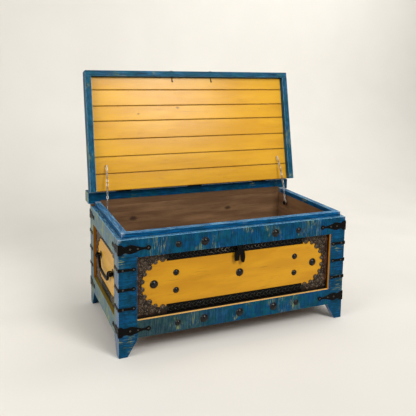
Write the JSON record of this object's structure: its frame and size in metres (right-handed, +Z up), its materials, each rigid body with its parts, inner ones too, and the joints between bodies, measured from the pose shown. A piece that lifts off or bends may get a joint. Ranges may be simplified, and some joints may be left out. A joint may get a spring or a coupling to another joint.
{
  "type": "wooden chest",
  "caption": "Framed wooden chest on four short feet, painted blue and yellow with dark ironwork, a hinged planked lid held open by chains, and swinging side handles.",
  "frame": {"origin": "on the floor, under the middle of the body", "axes": "+X to the right along the front, +Y from front to back, +Z up; the lid stands open at rest"},
  "size_m": [1.026, 0.6469, 1.0723],
  "materials": {
    "blue_paint": "worn matt paint",
    "yellow_paint": "worn matt paint",
    "stained_wood": "oiled, semi-matt",
    "forged_iron": "blackened, uneven",
    "bronze_plate": "dark aged patina",
    "chain_steel": "bright zinc"
  },
  "bodies": {
    "chest_body": {"back_bottom_rail": "blue_paint", "back_lining": "stained_wood", "back_panel": "yellow_paint", "back_top_rail": "blue_paint", "chain_screws": "forged_iron", "floor_battens": "stained_wood", "floor_boards": "stained_wood", "front_bottom_rail": "blue_paint", "front_corner_plates": "bronze_plate", "front_edge_strips": "forged_iron", "front_lining": "stained_wood", "front_lip": "blue_paint", "front_panel": "yellow_paint", "front_top_rail": "blue_paint", "handle_rosettes": "forged_iron", "handle_staples": "forged_iron", "hinge_pins": "forged_iron", "hinge_rail_leaves": "forged_iron", "iron_nails": "forged_iron", "large_corner_straps": "forged_iron", "large_studs": "forged_iron", "left_bottom_rail": "blue_paint", "left_lining": "stained_wood", "left_lip": "blue_paint", "left_panel": "yellow_paint", "left_top_rail": "blue_paint", "lock_bracket": "forged_iron", "narrow_corner_straps": "forged_iron", "post_back_left": "blue_paint", "post_back_right": "blue_paint", "post_front_left": "blue_paint", "post_front_right": "blue_paint", "rear_batten": "stained_wood", "rear_rail": "blue_paint", "right_bottom_rail": "blue_paint", "right_lining": "stained_wood", "right_lip": "blue_paint", "right_panel": "yellow_paint", "right_top_rail": "blue_paint", "side_corner_plates": "bronze_plate", "side_edge_strips": "forged_iron", "small_studs": "forged_iron"},
    "lid": {"lid_front_rail": "blue_paint", "lid_left_rail": "blue_paint", "lid_right_rail": "blue_paint", "lid_lining_boards": "yellow_paint", "lid_top_boards": "blue_paint", "lid_studs": "forged_iron", "hinge_lid_leaves": "forged_iron", "hinge_lid_nails": "forged_iron", "chain_lid_eyes": "chain_steel"},
    "left_handle": {"left_handle": "forged_iron"},
    "right_handle": {"right_handle": "forged_iron"},
    "lock_toggle": {"lock_toggle": "forged_iron"},
    "left_chain_top": {"left_chain_top": "chain_steel"},
    "left_chain_middle": {"left_chain_middle": "chain_steel"},
    "left_chain_low": {"left_chain_low": "chain_steel"},
    "right_chain_top": {"right_chain_top": "chain_steel"},
    "right_chain_middle": {"right_chain_middle": "chain_steel"},
    "right_chain_low": {"right_chain_low": "chain_steel"}
  },
  "joints": [
    {"name": "lid_hinge", "type": "hinge", "parent": "chest_body", "child": "lid", "pos_m": [0, 0.251, 0.5245], "axis": [1, 0, 0], "range_deg": [0, 101.7]},
    {"name": "left_handle_swing", "type": "hinge", "parent": "chest_body", "child": "left_handle", "pos_m": [-0.4976, 0, 0.276], "axis": [0, 1, 0], "range_deg": [0, 120]},
    {"name": "right_handle_swing", "type": "hinge", "parent": "chest_body", "child": "right_handle", "pos_m": [0.4976, 0, 0.276], "axis": [0, -1, 0], "range_deg": [0, 120]},
    {"name": "lock_toggle_swing", "type": "hinge", "parent": "chest_body", "child": "lock_toggle", "pos_m": [0, -0.268, 0.377], "axis": [-1, 0, 0], "range_deg": [0, 90]},
    {"name": "left_chain_top_swing", "type": "hinge", "parent": "lid", "child": "left_chain_top", "pos_m": [-0.435, 0.22634, 0.64705], "axis": [1, 0, 0], "range_deg": [-141.68, 0.01]},
    {"name": "right_chain_top_swing", "type": "hinge", "parent": "lid", "child": "right_chain_top", "pos_m": [0.435, 0.22634, 0.64705], "axis": [1, 0, 0], "range_deg": [-141.68, 0.01]},
    {"name": "left_chain_middle_swing", "type": "hinge", "parent": "left_chain_top", "child": "left_chain_middle", "pos_m": [-0.43933, 0.19173, 0.58042], "axis": [1, 0, 0], "range_deg": [-0.01, 74.85]},
    {"name": "right_chain_middle_swing", "type": "hinge", "parent": "right_chain_top", "child": "right_chain_middle", "pos_m": [0.43933, 0.19173, 0.58042], "axis": [1, 0, 0], "range_deg": [-0.01, 74.85]},
    {"name": "left_chain_low_swing", "type": "hinge", "parent": "left_chain_middle", "child": "left_chain_low", "pos_m": [-0.44365, 0.16745, 0.50938], "axis": [1, 0, 0], "range_deg": [-0.01, 103.85]},
    {"name": "right_chain_low_swing", "type": "hinge", "parent": "right_chain_middle", "child": "right_chain_low", "pos_m": [0.44365, 0.16745, 0.50938], "axis": [1, 0, 0], "range_deg": [-0.01, 103.85]}
  ],
  "couplings": [
    {"joint": "left_chain_top_swing", "follows": "lid_hinge", "ratio": -1.393},
    {"joint": "right_chain_top_swing", "follows": "lid_hinge", "ratio": -1.393},
    {"joint": "left_chain_middle_swing", "follows": "lid_hinge", "ratio": 0.73587},
    {"joint": "right_chain_middle_swing", "follows": "lid_hinge", "ratio": 0.73587},
    {"joint": "left_chain_low_swing", "follows": "lid_hinge", "ratio": 1.021},
    {"joint": "right_chain_low_swing", "follows": "lid_hinge", "ratio": 1.021}
  ]
}
